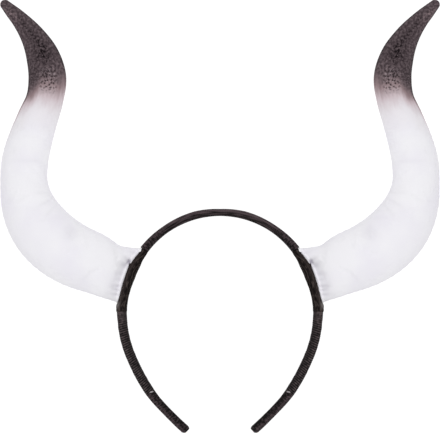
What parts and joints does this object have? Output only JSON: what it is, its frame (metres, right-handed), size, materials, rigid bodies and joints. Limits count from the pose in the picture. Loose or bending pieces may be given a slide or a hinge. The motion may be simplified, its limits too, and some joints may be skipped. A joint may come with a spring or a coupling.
{
  "type": "bull horns headband",
  "caption": "Costume headband with stuffed white bull horns that curve out and up to dark tips, on a slim black hoop with felt at each horn and cord-wound arms.",
  "frame": {"origin": "middle of the underside of the whole headband, lying on its back on a flat surface", "axes": "+X to the right across the head, seen from the front; +Y from the hoop's open ends towards the horn tips; +Z from the surface to the headband's front"},
  "size_m": [0.2812, 0.277, 0.0344],
  "materials": {
    "black_ribbon": "black woven ribbon over the hoop, slight sheen",
    "black_cord": "black cord wound in close turns, matt",
    "black_felt": "black felt, matt",
    "white_velour": "white short-pile cloth with a dark mottled airbrushed tip"
  },
  "bodies": {
    "root": {"hoop": "black_ribbon", "arm_wrap_right": "black_cord", "arm_wrap_left": "black_cord", "felt_sleeve_right": "black_felt", "felt_sleeve_left": "black_felt", "horn_right": "white_velour", "horn_left": "white_velour"}
  },
  "joints": []
}
